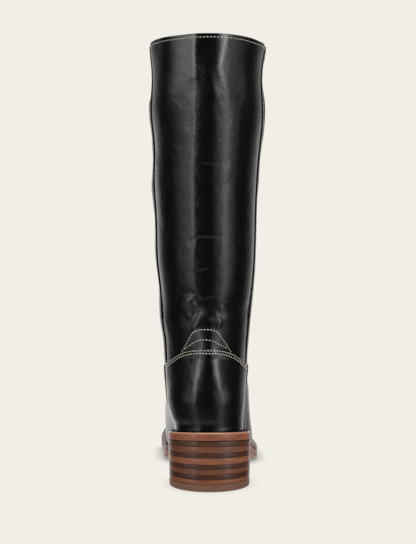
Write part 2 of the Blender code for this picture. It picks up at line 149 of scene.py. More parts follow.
def outward(turn, drop):
    """Directions straight out of the last."""
    nudge_turn, nudge_drop = 0.004, 0.4
    around = last(turn + nudge_turn, drop) - last(turn - nudge_turn, drop)
    low, high = np.clip(drop + nudge_drop, 0, FOOT_DROP), np.clip(drop - nudge_drop, 0, FOOT_DROP)
    up = last(turn, high) - last(turn, low)
    out = np.cross(around, up)
    return out / np.linalg.norm(out, axis=-1, keepdims=True)


# Back of the shaft: one panel of black calf from the collar to the heel, sewn under the front panel at both
# sides. The leather is glazed to a gloss and has soft folds where the ankle bends.
SEARCH_DROPS, SEARCH_TURNS = 700, 500


def last_net(turns, drops):
    """Points of the last before the collar rises, in mm, at every turn of a list crossed with every drop."""
    down = spline(ring_drops, rings.reshape(len(rings), -1), drops).reshape(len(drops), -1, 3)
    around = spline(point_turns, np.eye(rings.shape[1]), turns, closed=True)
    return np.einsum("tj,djk->tdk", around, down, optimize=True)


def drop_where(turn, height):
    """The drop at each turn where the last comes down to a height that is a function of x and y, in mm."""
    drops = np.linspace(0, FOOT_DROP, SEARCH_DROPS)
    points = last_net(np.asarray(turn), drops)
    above = points[..., 2] - height(points[..., 0] - MIDDLE_X, points[..., 1] - BACK_Y)
    first = np.argmax(above < 0, axis=1)
    first = np.where(first == 0, len(drops) - 1, first)
    rows = np.arange(len(first))
    a, b = above[rows, first - 1], above[rows, first]
    share = np.clip(a / np.where(a == b, 1, a - b), 0, 1)
    return drops[first - 1] + share * (drops[first] - drops[first - 1])


def turn_where(drop, side, place_y):
    """The turn at each drop where the last passes a distance from the back that is a function of z, in mm."""
    turns = np.linspace(0, math.pi, SEARCH_TURNS) * side
    points = last_net(turns, np.asarray(drop)).swapaxes(0, 1)
    beyond = points[..., 1] - BACK_Y - place_y(points[..., 2])
    first = np.maximum(np.argmax(beyond > 0, axis=1), 1)
    rows = np.arange(len(first))
    a, b = beyond[rows, first - 1], beyond[rows, first]
    return turns[first - 1] - a / (b - a) * (turns[first] - turns[first - 1])


def along_table(table):
    """A smooth function through a table of places and values."""
    places, values = (np.array(column) for column in zip(*table))
    first, final = places[0], places[-1]
    return lambda at: spline(places, values, np.clip(np.ravel(at), first, final)).reshape(np.shape(at))


# The side seams as heights and distances from the back, how far the leather flares out at them under the
# collar, and the counter's top edge as places across and heights, all in mm
OUTER_SEAM = along_table(((109.6, 57.0), (150, 60.0), (250, 61.0), (330, 63.0), (365, 66.0), (385, 69.0),
                          (420, 72.0)))
INNER_SEAM = along_table(((109.6, 57.0), (150, 60.0), (250, 61.0), (330, 62.5), (365, 68.0), (385, 75.0),
                          (420, 80.0)))
OUTER_FLARE = along_table(((370, 0.0), (385, 0.0), (400, 0.3), (411, 0.8)))
INNER_FLARE = along_table(((355, 0.0), (370, 0.0), (380, 0.3), (390, 1.0), (400, 1.9), (411, 2.8)))
COUNTER_TOP = along_table(((-60, 93.0), (-42, 109.0), (-26, 122.8), (-17.5, 126.4), (-1.4, 127.9),
                           (15, 125.4), (27.3, 116.8), (36, 107.0), (60, 82.0)))
COUNTER_END_X, COUNTER_END_Y = 60, 75
BACK_REACH = 2.4
LEATHER = 1.3
EDGE_ROUND = 0.35
SEAM_LAP = 0.13
COUNTER_LAP = 9.0
SHAFT_DROP = 300.0
FLARE_FULL = 0.1
BACK_FADE = 0.6

# Folds of the back panel, as in the photo: points (x, z) along each, then height and half width, in mm
BACK_FOLDS = (
    (((-11.5, 411), (-12.5, 395), (-13.2, 372)), 0.55, 5.0),
    (((14, 400), (9.5, 388), (8.5, 378), (14, 366), (15.5, 356)), 0.5, 7.0),
    (((-2.2, 377.4), (1.3, 365.8), (5.8, 354.1)), 0.45, 4.0),
    (((0, 380), (1, 350)), 1.0, 12.0),
    (((-17.5, 336), (-17.8, 326)), -0.3, 3.6),
    (((-6, 296), (6, 294.5), (15, 295)), -0.1, 1.6),
    (((15.3, 297), (15.3, 293)), -0.2, 2.2),
    (((14.8, 276), (14.8, 273)), -0.25, 2.4),
    (((-13.9, 227.5), (-9, 230), (13, 230)), -0.1, 1.6),
    (((-17.5, 226.5), (-17.5, 223.5)), -0.25, 2.6),
    (((-13, 199), (-9, 199)), -0.15, 1.7),
    (((-34, 160), (30, 160)), -1.5, 9.5),
    (((-20.6, 171), (-18.8, 158)), 1.0, 3.5),
    (((-12, 166.5), (-4.5, 164.5), (-5, 161), (-10, 155), (-13.9, 148.5)), 0.85, 3.0),
    (((1.6, 155.5), (9, 153.6)), 0.7, 2.6),
    (((6.5, 159), (11, 153), (8.5, 149.5)), 0.75, 2.8),
    (((11.5, 164.5), (16.8, 157)), 0.8, 3.6),
    (((-30, 172), (-25, 178), (-17, 179), (-10, 175)), -0.5, 2.6),
)

# Fine creases, rubbed places and painted highlights, drawn in the same way: how far each greys the dye, and
# half width in mm
WEAR_AND_HIGHLIGHTS = (
    (((-6, 296), (6, 294.5), (14, 295)), 0.5, 0.9),
    (((15.3, 297), (15.3, 293)), 0.9, 1.2),
    (((14.8, 276), (14.8, 273)), 0.5, 1.4),
    (((-13.9, 227.5), (-9, 230), (13, 230)), 0.7, 0.9),
    (((-18.5, 225.5), (-16.5, 223)), 0.8, 1.8),
    (((-13, 199), (-9, 200), (-2, 201)), 0.5, 0.9),
    (((-10, 173), (4, 176), (16, 171)), 0.35, 1.2),
    # Painted highlights: light lines along the core and edge of the two light streaks down the shaft
    (((15.2, 292), (14.6, 280)), 0.4, 1.0),
    (((14.2, 268), (13.4, 236), (12, 217), (10.6, 205)), 0.5, 1.0),
    (((-14.3, 284), (-14.8, 267), (-13.6, 240), (-12.8, 228)), 0.3, 0.9),
    (((-21.5, 331), (-19.8, 327.5), (-17.2, 326.5), (-14.5, 328), (-12.6, 331)), 0.4, 1.3),
    # Partly wear, partly painted highlights: grey haze on the ridges of the folds above the tab
    (((-21.6, 169), (-18.8, 160)), 0.8, 3.2),
    (((-13.9, 148.5), (-10, 155), (-5, 161), (-8, 166)), 0.8, 2.4),
    (((1.6, 155.5), (9, 153.6), (13, 159)), 0.7, 2.2),
    (((11, 163), (15.5, 157)), 0.6, 4.0),
)


def fold_height(points, folds):
    """How much soft lines drawn on the back add up to at points, falling away over each line's half width."""
    x, z = points[..., 0] - MIDDLE_X, points[..., 2]
    lift = np.zeros(x.shape)
    for line, height, half_width in folds:
        nearest = np.full(x.shape, np.inf)
        for (ax, az), (bx, bz) in zip(line, line[1:]):
            length = (bx - ax) ** 2 + (bz - az) ** 2
            share = np.clip(((x - ax) * (bx - ax) + (z - az) * (bz - az)) / length, 0, 1)
            away = np.hypot(x - ax - share * (bx - ax), z - az - share * (bz - az))
            nearest = np.minimum(nearest, away)
        lift += height * np.exp(-((nearest / half_width) ** 2))
    return lift


def lay_panel(name, place, thickness, columns, rows, closed=False):
    """A leather panel: a grid laid on the last by a function, then given its thickness and rounded edges."""
    bpy.ops.mesh.primitive_grid_add(x_subdivisions=columns, y_subdivisions=rows, size=2)
    piece = bpy.context.object
    piece.name = piece.data.name = name
    flat = np.zeros(len(piece.data.vertices) * 3)
    piece.data.vertices.foreach_get("co", flat)
    across, up = np.clip(flat.reshape(-1, 3)[:, :2].T, -1, 1)
    piece.data.vertices.foreach_set("co", (place(across, up) * MM).ravel())
    piece.data.update()
    if closed:
        bpy.ops.object.mode_set(mode="EDIT")
        bpy.ops.mesh.select_all(action="SELECT")
        bpy.ops.mesh.remove_doubles(threshold=0.001 * MM)
        bpy.ops.object.mode_set(mode="OBJECT")
    solidify = piece.modifiers.new("thickness", "SOLIDIFY")
    solidify.thickness = thickness * MM
    solidify.offset = -1
    bpy.ops.object.modifier_apply(modifier="thickness")
    bevel = piece.modifiers.new("edges", "BEVEL")
    bevel.width = EDGE_ROUND * MM
    bevel.segments = 3
    bevel.limit_method = "ANGLE"
    bevel.angle_limit = math.radians(50)
    bpy.ops.object.modifier_apply(modifier="edges")
    bpy.ops.object.shade_smooth_by_angle(angle=math.radians(45))
    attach(piece, "root")
    return piece


def add_node(tree, kind, inputs=None, **settings):
    """Add a node with its settings. An input is a value, or another node's output to link."""
    made = tree.nodes.new(kind)
    for name, value in settings.items():
        setattr(made, name, value)
    for name, value in (inputs or {}).items():
        if isinstance(value, bpy.types.NodeSocket):
            tree.links.new(value, made.inputs[name])
        else:
            made.inputs[name].default_value = value
    return made


def linear(colour):
    """An sRGB hex colour as linear RGBA."""
    parts = [int(colour[i : i + 2], 16) / 255 for i in (1, 3, 5)]
    return (*[p / 12.92 if p <= 0.04045 else ((p + 0.055) / 1.055) ** 2.4 for p in parts], 1.0)


def new_material(name):
    """A material with an empty tree of nodes."""
    material = bpy.data.materials.new(name)
    material.use_nodes = True
    material.node_tree.nodes.clear()
    return material, material.node_tree


def black_calf():
    """Aniline-dyed calf, ironed and glazed: near black under a smooth coat, drawn unevenly over about 12 mm,
    brown grey where it is rubbed and along painted highlights on the streaks and fold ridges. The pores are
    0.7 mm apart, coarser than real ones, so that they show."""
    material, tree = new_material("glazed_black_calf")
    at = add_node(tree, "ShaderNodeTexCoord").outputs["Object"]
    pores = add_node(tree, "ShaderNodeTexVoronoi", {"Vector": at, "Scale": 1 / (0.7 * MM)}, feature="F1")
    drawn = add_node(tree, "ShaderNodeTexNoise",
                     {"Vector": at, "Scale": 1 / (12 * MM), "Detail": 3.0, "Roughness": 0.5})
    grain = add_node(tree, "ShaderNodeBump",
                     {"Height": pores.outputs["Distance"], "Strength": 0.06, "Distance": 0.25 * MM})
    pull = add_node(tree, "ShaderNodeBump",
                    {"Height": drawn.outputs["Fac"], "Strength": 0.5, "Distance": 2 * MM,
                     "Normal": grain.outputs["Normal"]})
    dye = add_node(tree, "ShaderNodeMix",
                   {"Factor": drawn.outputs["Fac"], "A": linear("#040405"), "B": linear("#0a0a0b")},
                   data_type="RGBA")
    # Wear and painted highlights: the attribute greys the dye along creases, streak cores and fold ridges
    rubbed_and_highlight = add_node(tree, "ShaderNodeAttribute", attribute_name="wear_and_highlight")
    hide = add_node(tree, "ShaderNodeMix",
                    {"Factor": rubbed_and_highlight.outputs["Fac"], "A": dye.outputs["Result"], "B": linear("#434040")},
                    data_type="RGBA")
    sheen = add_node(tree, "ShaderNodeMapRange",
                     {"Value": drawn.outputs["Fac"], "To Min": 0.26, "To Max": 0.36})
    shader = add_node(tree, "ShaderNodeBsdfPrincipled",
                      {"Base Color": hide.outputs["Result"], "Roughness": sheen.outputs["Result"],
                       "IOR": 1.5, "Normal": pull.outputs["Normal"], "Coat Weight": 0.6,
                       "Coat Roughness": 0.12})
    add_node(tree, "ShaderNodeOutputMaterial", {"Surface": shader.outputs["BSDF"]})
    return material


calf = black_calf()
back_turns = np.linspace(-BACK_REACH, BACK_REACH, 241)
back_drops = drop_where(back_turns, lambda x, y: COUNTER_TOP(
    np.where(y < COUNTER_END_Y, x, np.sign(x) * COUNTER_END_X)))


def back_drop(turn):
    """Drop of the counter's top edge at turns of the back."""
    return np.interp(turn, back_turns, back_drops)


side_drops = np.linspace(0, FOOT_DROP, 120)
outer_seam = turn_where(side_drops, 1, OUTER_SEAM)
inner_seam = turn_where(side_drops, -1, INNER_SEAM)


def half_turn(side, drop, outer, inner):
    """How far round from the back an edge lies: the outer edge where side is above 0, else the inner one."""
    return np.where(side > 0, np.interp(drop, side_drops, outer), -np.interp(drop, side_drops, inner))


def seam_flare(turn, drop, beside):
    """How far the leather stands out near the seams under the collar, in mm, fading over an angle."""
    turn = from_back(turn)
    seam = half_turn(turn, drop, outer_seam, inner_seam)
    z = last(turn, drop)[:, 2]
    flare = np.where(turn > 0, OUTER_FLARE(z), INNER_FLARE(z))
    return flare * (1 - soft_step(FLARE_FULL, beside, np.abs(np.abs(turn) - seam)))


def place_back(across, up):
    """The back panel from seam to seam, its lower edge hidden under the counter. Turn and drop depend on
    each other, so here and in other panels they are found in a few rounds."""
    share = (1 - up) / 2
    drop = share * SHAFT_DROP
    for _ in range(4):
        turn = across * (half_turn(across, drop, outer_seam, inner_seam) + SEAM_LAP)
        drop = share * (back_drop(turn) + COUNTER_LAP)
    points = last(turn, drop)
    lift = fold_height(points, BACK_FOLDS) + seam_flare(turn, drop, BACK_FADE)
    return points + outward(turn, drop) * lift[:, None]


back = lay_panel("shaft_back", place_back, LEATHER, columns=150, rows=260)
back.data.materials.append(calf)
# Stored per point: how far rubbed creases and painted highlights grey the dye
wear_and_highlight = back.data.attributes.new("wear_and_highlight", "FLOAT", "POINT")
back_points = np.array([point.co[:] for point in back.data.vertices]) / MM
wear_and_highlight.data.foreach_set("value", fold_height(back_points, WEAR_AND_HIGHLIGHTS))
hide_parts("upper")

# Lining: thin tan leather inside the whole boot, cemented to the panels and closed at the back, open at the
# collar and underneath. Its top lies just below the collar's edge.
LINING_OUT = -1.4
LINING = 0.9
LINING_TOP = 1.6
LINING_FADE = 0.65


def place_lining(across, up):
    """The lining all the way round, pressed in where the back panel's folds go inwards."""
    turn = math.pi * (across + 1)
    drop = LINING_TOP + (1 - up) / 2 * (FOOT_DROP - LINING_TOP)
    points = last(turn, drop)
    behind = points[:, 1] - BACK_Y < OUTER_SEAM(points[:, 2])
    dents = np.where(behind, np.minimum(fold_height(points, BACK_FOLDS), 0), 0)
    return points + outward(turn, drop) * (LINING_OUT + dents + seam_flare(turn, drop, LINING_FADE))[:, None]


def tan_lining():
    """Vegetable-tanned lining leather, undyed: warm tan, clouded over 20 mm, matt, with a nap of 0.8 mm."""
    material, tree = new_material("tan_lining_leather")
    at = add_node(tree, "ShaderNodeTexCoord").outputs["Object"]
    cloud = add_node(tree, "ShaderNodeTexNoise", {"Vector": at, "Scale": 1 / (20 * MM), "Detail": 5.0})
    nap = add_node(tree, "ShaderNodeTexNoise", {"Vector": at, "Scale": 1 / (0.8 * MM), "Detail": 2.0})
    colour = add_node(tree, "ShaderNodeMix",
                      {"Factor": cloud.outputs["Fac"], "A": linear("#8d6a48"), "B": linear("#b08a62")},
                      data_type="RGBA")
    bump = add_node(tree, "ShaderNodeBump",
                    {"Height": nap.outputs["Fac"], "Strength": 0.3, "Distance": 0.2 * MM})
    shader = add_node(tree, "ShaderNodeBsdfPrincipled",
                      {"Base Color": colour.outputs["Result"], "Roughness": 0.75,
                       "Normal": bump.outputs["Normal"]})
    add_node(tree, "ShaderNodeOutputMaterial", {"Surface": shader.outputs["BSDF"]})
    return material


lining = lay_panel("lining", place_lining, LINING, columns=120, rows=90, closed=True)
lining.data.materials.append(tan_lining())
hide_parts("upper")

# Heel tab: a small round-topped piece of calf on the back of the ankle, its foot caught under the counter.
# Ecru linen thread holds it: a row just inside its edge, and an arc across it.
TAB_OUT = 1.35
TAB = 1.1
TAB_FOOT = 6.0
TAB_LEAST = 2.0
TAB_SIDES = (-28.5, 28.0)
TAB_REACH = 1.5

# The tab's edge and its two rows of stitches as places across and heights, and where the rows end, in mm
TAB_EDGE = along_table(((-29, 118.0), (-25, 126.2), (-21.5, 132.4), (-17.4, 140.8), (-13.8, 145.0),
                        (-9, 146.7), (-2.8, 147.3), (1.8, 146.9), (5, 146.0), (7.7, 144.5), (11.3, 139.1),
                        (14.6, 133.8), (17.6, 128.6), (28, 112.0)))
TAB_ROW = along_table(((-26, 121.6), (-23.6, 125.8), (-20.2, 131.8), (-16.2, 140.0), (-13.2, 143.6),
                       (-8.8, 145.3), (-2.8, 145.9), (1.6, 145.5), (4.6, 144.6), (6.8, 143.4), (10.2, 138.4),
                       (13.5, 133.2), (16.5, 128.0), (20, 122.0)))
TAB_ARC = along_table(((-25, 124.2), (-22.5, 126.5), (-18.4, 129.9), (-14.7, 132.9), (-10.2, 135.5),
                       (-6.5, 136.5), (-2.8, 136.5), (1.6, 135.7), (5.4, 134.0), (9, 131.8), (12.8, 129.5),
                       (15.7, 127.6), (18, 126.0)))
TAB_ROW_ENDS = ((-24.5, 124), (19.0, 124))
TAB_ARC_ENDS = ((-22.5, 125), (15.5, 126))


def turn_at_x(x, height):
    """The turn on the back of the last at a sideways place, at a height, both in mm."""
    turns = np.linspace(-TAB_REACH, TAB_REACH, 400)
    drops = drop_where(turns, lambda across, along: height)
    return np.interp(x, last(turns, drops)[:, 0] - MIDDLE_X, turns)


tab_turns = [turn_at_x(x, COUNTER_TOP(x)) for x in TAB_SIDES]


def tab_drop(turn, table):
    """Drop at turns of a line that a table gives as places across and heights."""
    return drop_where(turn, lambda x, y: table(x))


def place_tab(across, up):
    """The tab from its foot under the counter up to its round edge."""
    turn = tab_turns[0] + (across + 1) / 2 * (tab_turns[1] - tab_turns[0])
    fine = np.linspace(*tab_turns, 160)
    foot = back_drop(fine) + TAB_FOOT
    top = np.minimum(tab_drop(fine, TAB_EDGE), foot - TAB_LEAST)
    drop = np.interp(turn, fine, foot) + (up + 1) / 2 * np.interp(turn, fine, top - foot)
    return last(turn, drop) + outward(turn, drop) * TAB_OUT


def ecru_thread():
    """Waxed linen thread, ecru, laid in short straight stitches, its ply 0.4 mm thick."""
    material, tree = new_material("ecru_linen_thread")
    at = add_node(tree, "ShaderNodeTexCoord").outputs["Object"]
    ply = add_node(tree, "ShaderNodeTexNoise", {"Vector": at, "Scale": 1 / (0.4 * MM), "Detail": 2.0})
    colour = add_node(tree, "ShaderNodeMix",
                      {"Factor": ply.outputs["Fac"], "A": linear("#c9bfb3"), "B": linear("#f2e9dd")},
                      data_type="RGBA")
    shader = add_node(tree, "ShaderNodeBsdfPrincipled",
                      {"Base Color": colour.outputs["Result"], "Roughness": 0.6})
    add_node(tree, "ShaderNodeOutputMaterial", {"Surface": shader.outputs["BSDF"]})
    return material


thread = ecru_thread()
bpy.ops.mesh.primitive_uv_sphere_add(segments=8, ring_count=6, radius=1.0)
one_stitch = bpy.context.object
stitch_points = np.array([point.co[:] for point in one_stitch.data.vertices])[:, [2, 0, 1]]
stitch_faces = [tuple(face.vertices) for face in one_stitch.data.polygons]
bpy.data.objects.remove(one_stitch)


def add_piece(name, points, faces):
    """A new piece from points in mm and faces."""
    mesh = bpy.data.meshes.new(name)
    mesh.from_pydata(np.asarray(points) * MM, [], faces)
    piece = bpy.data.objects.new(name, mesh)
    bpy.context.scene.collection.objects.link(piece)
    return piece


def sew(name, rows, pitch=3.0, length=2.3, width=1.0, height=0.8):
    """Rows of stitches as one piece. Each row is points along it and directions out of the leather, in mm."""
    points, faces = [], []
    for path, out in rows:
        run = np.concatenate([[0], np.cumsum(np.linalg.norm(np.diff(path, axis=0), axis=1))])
        count = max(2, int(run[-1] / pitch))
        at = (np.arange(count) + 0.5) * run[-1] / count
        for place in at:
            a, b, middle = (np.array([np.interp(place + step, run, path[:, k]) for k in range(3)])
                            for step in (-length / 2, length / 2, 0))
            up = np.array([np.interp(place, run, out[:, k]) for k in range(3)])
            along = (b - a) / np.linalg.norm(b - a)
            side = np.cross(up, along)
            side /= np.linalg.norm(side)
            up = np.cross(along, side)
            axes = np.stack([along * length / 2, side * width / 2, up * height / 2])
            first = len(points)
            points.extend(middle + stitch_points @ axes)
            faces.extend(tuple(first + i for i in face) for face in stitch_faces)
    piece = add_piece(name, points, faces)
    piece.data.shade_smooth()
    piece.data.materials.append(thread)
    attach(piece, "root")


def on_leather(turn, drop, lift):
    """Points on a panel's outside and the directions out of it."""
    out = outward(turn, drop)
    return last(turn, drop) + out * np.reshape(lift, (-1, 1)), out


tab = lay_panel("heel_tab_leather", place_tab, TAB, columns=90, rows=40)
tab.data.materials.append(calf)
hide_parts("heel_tab")
tab_rows = []
for table, ends in ((TAB_ROW, TAB_ROW_ENDS), (TAB_ARC, TAB_ARC_ENDS)):
    turn = np.linspace(*(turn_at_x(*end) for end in ends), 300)
    tab_rows.append(on_leather(turn, tab_drop(turn, table), TAB_OUT))
sew("heel_tab_stitches", tab_rows)

# Counter: the stiff heel cover of calf over a heat-moulded stiffener, from the ankle down to the sole.
# Two rows of ecru stitches run along its top edge, where it laps over the tab and the back panel.
OVERLAY_OUT = 1.7
COUNTER_FRONT = 57.0
VAMP_LAP = 5.0
COUNTER = 1.4
CORNER_DROP = 300.0
COUNTER_DEPTH = 80.0
OVER_TAB = 0.8
TAB_RAMP = (-0.05, 0.15)
OVER_TAB_FADE = (5.0, 13.0)
COUNTER_ROWS = (1.5, 4.0)
ROW_LIFT = 0.05
counter_outer, counter_inner = (turn_where(side_drops, side, lambda z: COUNTER_FRONT + VAMP_LAP)
                                for side in (1, -1))


def counter_lift(turn, drop):
    """Outside of the counter: its top edge rides up over the tab."""
    start, end = (tab_turns[0] + edge for edge in TAB_RAMP), (-tab_turns[1] + edge for edge in TAB_RAMP)
    over_tab = soft_step(*start, turn) * soft_step(*end, -turn)
    return OVERLAY_OUT + OVER_TAB * over_tab * (1 - soft_step(*OVER_TAB_FADE, drop - back_drop(turn)))


def place_counter(across, up):
    """The counter round the heel, from its top edge down to the sole, its front edges under the vamp."""
    share = (1 - up) / 2
    drop = CORNER_DROP + share * COUNTER_DEPTH
    for _ in range(5):
        turn = across * half_turn(across, drop, counter_outer, counter_inner)
        top = back_drop(turn)
        drop = top + share * (FOOT_DROP - top)
    return last(turn, drop) + outward(turn, drop) * counter_lift(turn, drop)[:, None]


counter = lay_panel("counter_leather", place_counter, COUNTER, columns=150, rows=80)
counter.data.materials.append(calf)
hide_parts("counter")
counter_ends = (float(turn_where([CORNER_DROP], side, lambda z: COUNTER_FRONT)[0]) for side in (-1, 1))
counter_turn = np.linspace(*counter_ends, 400)
counter_rows = []
for below in COUNTER_ROWS:
    drop = drop_where(counter_turn, lambda x, y: COUNTER_TOP(x) - below)
    counter_rows.append(on_leather(counter_turn, drop, counter_lift(counter_turn, drop) + ROW_LIFT))
sew("counter_stitches", counter_rows)

# Front of the shaft: one wide panel of calf round the shin, lapped over the back panel at both side seams and
# sewn there with one row. Its lower edge goes under the vamp.
FRONT = 1.1
FRONT_EDGE_OUT = 1.2
FRONT_OUT = 2.1
FRONT_FULL = 0.16
FRONT_FADE = 0.8
FRONT_TOP = 0.4
FRONT_LAP = 8.0
FRONT_DROP = 280.0
FRONT_START = 0.6
SIDE_ROW_ENDS = (5.0, 304.0)
SIDE_ROW_IN = 2.2
WAVE_FADE = (0.4, 1.1)

# How far the leather waves in and out down each side, from the photo's outline, as heights and distances, and
# the vamp's top edge as distances from the back and heights, in mm
INNER_WAVE = along_table(((150, 0.3), (164.7, 0.45), (174, 0.2), (183.6, -0.37), (193, -0.28), (202.6, 0.1),
                          (221.3, 0.35), (240, -0.1), (260, 0.3), (269, 0.67), (278.6, 0.86), (288, 0.2),
                          (297.4, -0.37), (306.8, -0.48), (316, 0.27), (325.7, -0.2), (335, 0.0),
                          (344.5, 0.5), (350, 0.5), (358, 0.9), (364, -0.3), (369, -1.7), (376, -2.0),
                          (382, -1.9), (391.7, -1.3), (411, -0.8)))
OUTER_WAVE = along_table(((150, 0.0), (180, 0.15), (202, 0.0), (221, -0.45), (250, -0.5), (269, -0.4),
                          (279, 0.2), (297, -0.1), (311, -0.3), (326, 0.5), (340, 0.8), (360, 1.2),
                          (372.7, 0.2), (382, -0.6), (391.7, -0.7), (401, 0.3), (411, -0.3)))
VAMP_EDGE = along_table(((57, 109.6), (75, 104.0), (95, 106.0), (112, 118.0), (124, 136.0), (131, 154.0),
                         (136, 170.0)))
front_turns = np.linspace(FRONT_START, math.tau - FRONT_START, 400)
vamp_tops = drop_where(front_turns, lambda x, y: VAMP_EDGE(y))


def vamp_drop(turn):
    """Drop of the vamp's top edge at turns from the outer side seam round the front to the inner one."""
    return np.interp(turn, front_turns, vamp_tops)


def round_front(across, drop, outer, inner):
    """Turns from the outer side round the front to the inner side, between two edges down the sides."""
    outer, inner = np.interp(drop, side_drops, outer), np.interp(drop, side_drops, inner)
    return math.pi + across * np.where(across < 0, math.pi - outer, math.pi + inner)


def front_lift(turn, drop):
    """Outside of the front panel: thin at the seams, fuller beside them, with soft waves down both sides."""
    turn = np.mod(turn, math.tau)
    from_outer = turn - np.interp(drop, side_drops, outer_seam)
    from_inner = math.tau + np.interp(drop, side_drops, inner_seam) - turn
    full = soft_step(0.0, FRONT_FULL, np.minimum(from_outer, from_inner))
    z = last(turn, drop)[:, 2]
    wave = ((1 - soft_step(*WAVE_FADE, from_outer)) * OUTER_WAVE(z)
            + (1 - soft_step(*WAVE_FADE, from_inner)) * INNER_WAVE(z))
    return FRONT_EDGE_OUT + full * (FRONT_OUT - FRONT_EDGE_OUT + wave) + seam_flare(turn, drop, FRONT_FADE)


def place_front(across, up):
    """The front panel from seam to seam round the shin, its lower edge hidden under the vamp."""
    share = (1 - up) / 2
    drop = share * FRONT_DROP
    for _ in range(4):
        turn = round_front(across, drop, outer_seam, inner_seam)
        drop = FRONT_TOP + share * (vamp_drop(turn) + FRONT_LAP)
    return last(turn, drop) + outward(turn, drop) * front_lift(turn, drop)[:, None]


front = lay_panel("shaft_front_leather", place_front, FRONT, columns=150, rows=170)
front.data.materials.append(calf)
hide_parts("shaft_front")
side_drop = np.linspace(*SIDE_ROW_ENDS, 600)
side_rows = []
for side, seam in ((1, OUTER_SEAM), (-1, INNER_SEAM)):
    turn = turn_where(side_drop, side, lambda z: seam(z) + SIDE_ROW_IN)
    side_rows.append(on_leather(turn, side_drop, front_lift(turn, side_drop)))
sew("side_seam_stitches", side_rows)

# Collar: the top edges of the back and front panels, turned in over the lining and sewn down with one row of
# ecru stitches all round, a little further apart than those of the seams.
COLLAR_ROW = 3.4
COLLAR_PITCH = 3.2
BACK_GAP, FRONT_GAP = 0.02, 0.04
collar_drop = np.full(400, COLLAR_ROW)
collar_outer = float(np.interp(COLLAR_ROW, side_drops, outer_seam))
collar_inner = float(np.interp(COLLAR_ROW, side_drops, inner_seam))
collar_back = np.linspace(collar_inner + BACK_GAP, collar_outer - BACK_GAP, 400)
collar_front = np.linspace(collar_outer + FRONT_GAP, math.tau + collar_inner - FRONT_GAP, 400)
back_lift = (fold_height(last(collar_back, collar_drop), BACK_FOLDS)
             + seam_flare(collar_back, collar_drop, BACK_FADE))
sew("collar_stitches", [on_leather(collar_back, collar_drop, back_lift),
                        on_leather(collar_front, collar_drop, front_lift(collar_front, collar_drop))],
    pitch=COLLAR_PITCH)

# Vamp: one piece of calf over the forefoot and instep, lasted to the sole, lapped over the front panel and
# the counter and sewn along both edges.
VAMP = 1.2
VAMP_RISE = 1.0
VAMP_RISE_FADE = (4.0, 13.0)
VAMP_DEPTH = 100.0
VAMP_TOP_ROWS = (1.6, 4.0)
VAMP_BACK_ROW = 2.0
ROW_BELOW_TOP, ROW_ABOVE_SOLE = 2.0, 4.0
vamp_outer, vamp_inner = (turn_where(side_drops, side, lambda z: COUNTER_FRONT) for side in (1, -1))


def vamp_lift(turn, drop):
    """Outside of the vamp: its edges ride up over the panels they are sewn to."""
    far_down = soft_step(*VAMP_RISE_FADE, drop - vamp_drop(turn))
    far_on = soft_step(*VAMP_RISE_FADE, last(turn, drop)[:, 1] - BACK_Y - COUNTER_FRONT)
    return OVERLAY_OUT + VAMP_RISE * (1 - far_down * far_on)


def place_vamp(across, up):
    """The vamp from one side of the counter round the toe to the other, from its top edge to the sole."""
    share = (1 - up) / 2
    drop = CORNER_DROP + share * VAMP_DEPTH
    for _ in range(5):
        turn = round_front(across, drop, vamp_outer, vamp_inner)
        top = vamp_drop(turn)
        drop = top + share * (FOOT_DROP - top)
    return last(turn, drop) + outward(turn, drop) * vamp_lift(turn, drop)[:, None]


vamp = lay_panel("vamp_leather", place_vamp, VAMP, columns=190, rows=90)
vamp.data.materials.append(calf)
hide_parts("vamp")
corner_outer = float(np.interp(CORNER_DROP, side_drops, vamp_outer))
corner_inner = float(np.interp(CORNER_DROP, side_drops, vamp_inner))
vamp_rows = []
for side, corner in ((1, corner_outer), (-1, math.tau + corner_inner)):
    drop = np.linspace(vamp_drop(corner) + ROW_BELOW_TOP, FOOT_DROP - ROW_ABOVE_SOLE, 200)
    turn = turn_where(drop, side, lambda z: COUNTER_FRONT + VAMP_BACK_ROW)
    vamp_rows.append(on_leather(turn, drop, vamp_lift(turn, drop)))
top_turn = np.linspace(corner_outer + FRONT_GAP, math.tau + corner_inner - FRONT_GAP, 500)
for below in VAMP_TOP_ROWS:
    drop = drop_where(top_turn, lambda x, y: VAMP_EDGE(y) - below)
    vamp_rows.append(on_leather(top_turn, drop, vamp_lift(top_turn, drop)))
sew("vamp_stitches", vamp_rows)

# Insole: a board of leather that closes the upper from below, covered with the lining's tan leather. Only its
# top shows, deep inside, so the solid itself is kept.
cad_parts["insole"].material_slots[0].material = lining.data.materials[0]

# Outsole: one thick bend of sole leather, its edge trimmed, stained and waxed, its underside left natural.
# Its top is painted near black as shade, and its upper rim is lighter: burnished, and partly a painted
# highlight.
OUTSOLE_ROUND = 1.6
FACING = 0.6
RIM_ANGLE = 1.2


def face_points(node, up):
    """Stations of a layer's top or underside: y, inner x, outer x and z, in mm, from the back forwards."""
    mesh = node.data
    places = {}
    for face in mesh.polygons:
        if face.normal.z * up > FACING:
            for i in face.vertices:
                x, y, z = mesh.vertices[i].co / MM
                places.setdefault(round(y, 2), []).append((x, y, z))
    return np.array([(row[0][1], min(row)[0], max(row)[0], row[0][2]) for _, row in sorted(places.items())])


def layer_outline(node, up, count, blunt):
    """A layer's edge as smooth matching runs of points along its outer and inner side."""
    y, inner, outer, z = face_points(node, up).T
    full = 1 if blunt else 2
    turn = np.arccos(np.clip(1 - full * (y - y[0]) / (y[-1] - y[0]), -1, 1))
    at = np.linspace(0, turn[-1], count)
    new_y = y[0] + (y[-1] - y[0]) * (1 - np.cos(at)) / full
    new_z = np.interp(new_y, y, z) if blunt else spline(turn, z, at)
    return [np.stack([spline(turn, x, at), new_y, new_z], axis=1) for x in (outer, inner)]


